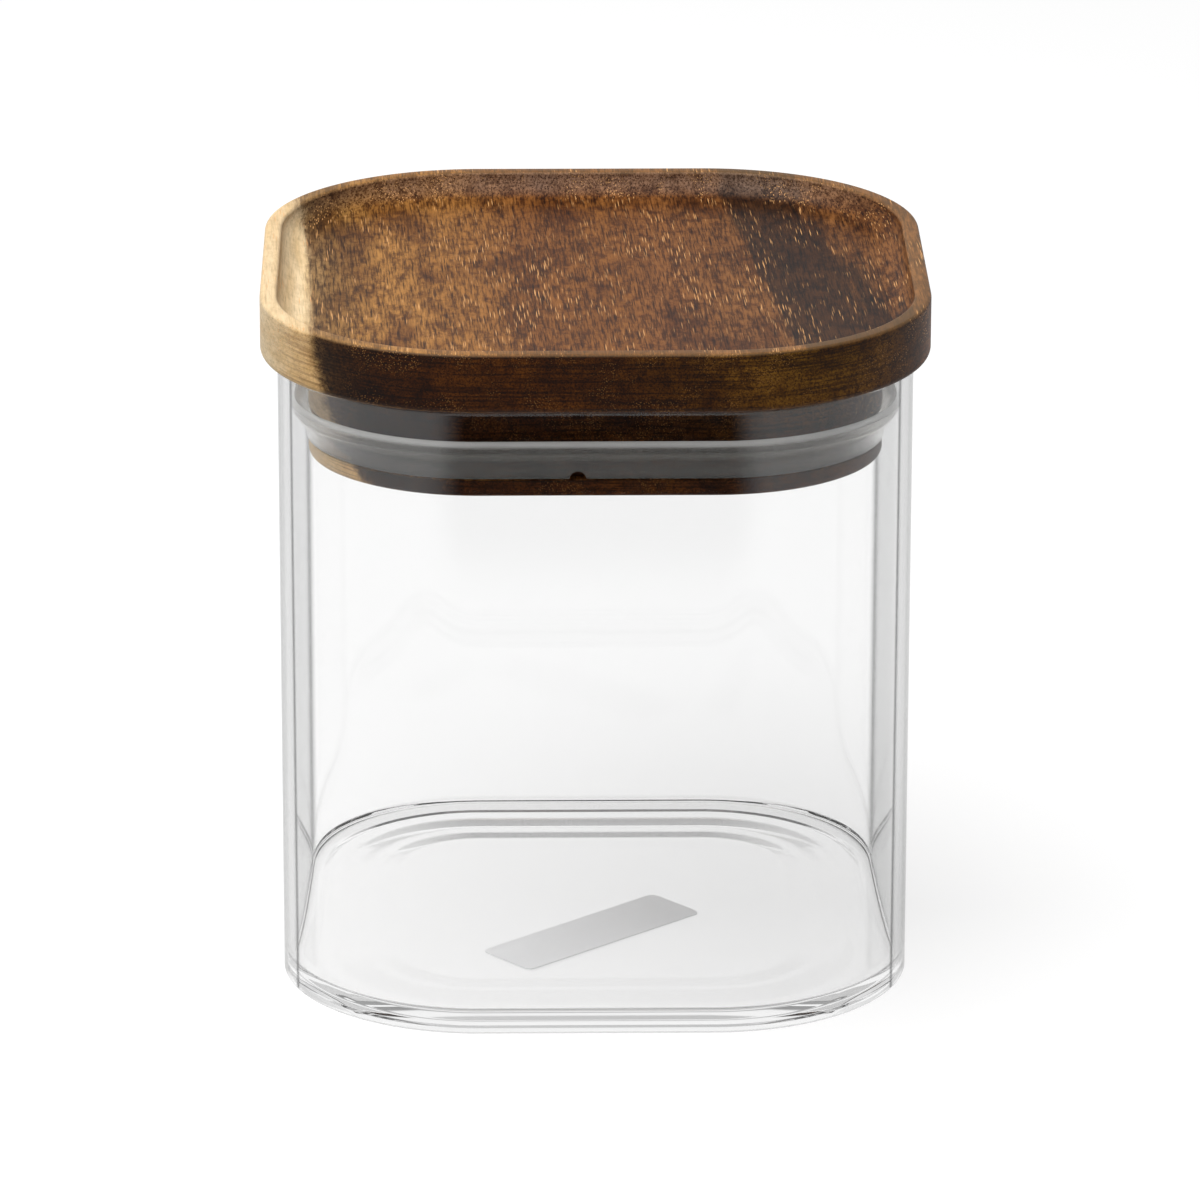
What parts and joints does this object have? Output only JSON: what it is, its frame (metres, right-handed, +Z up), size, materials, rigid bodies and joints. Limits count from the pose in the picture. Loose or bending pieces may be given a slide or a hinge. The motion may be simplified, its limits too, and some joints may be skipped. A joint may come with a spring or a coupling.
{
  "type": "glass jar",
  "caption": "Rounded-square clear glass storage jar with a solid wooden plug lid, dished on top and sealed by a silicone ring, that lifts straight off.",
  "frame": {"origin": "middle of the jar's footprint, on the plane that it stands on", "axes": "+Z up through the lid, along the line that the lid lifts on; -Y is the front, where the seal's small notch is; +X to the right seen from the front"},
  "size_m": [0.1, 0.1, 0.107],
  "materials": {
    "glass": "clear borosilicate glass, blown, with a fire-polished rim",
    "acacia": "solid acacia, sanded and oiled, brown heartwood with a pale sapwood edge",
    "silicone": "translucent grey silicone, moulded, satin",
    "label": "blank pale grey paper sticker, matt"
  },
  "bodies": {
    "jar": {"glass_jar": "glass", "base_label": "label"},
    "lid": {"wooden_lid": "acacia", "silicone_seal": "silicone"}
  },
  "joints": [
    {"name": "lid_lift", "type": "slide", "parent": "jar", "child": "lid", "axis": [0, 0, 1], "range_m": [0, 0.06]}
  ]
}
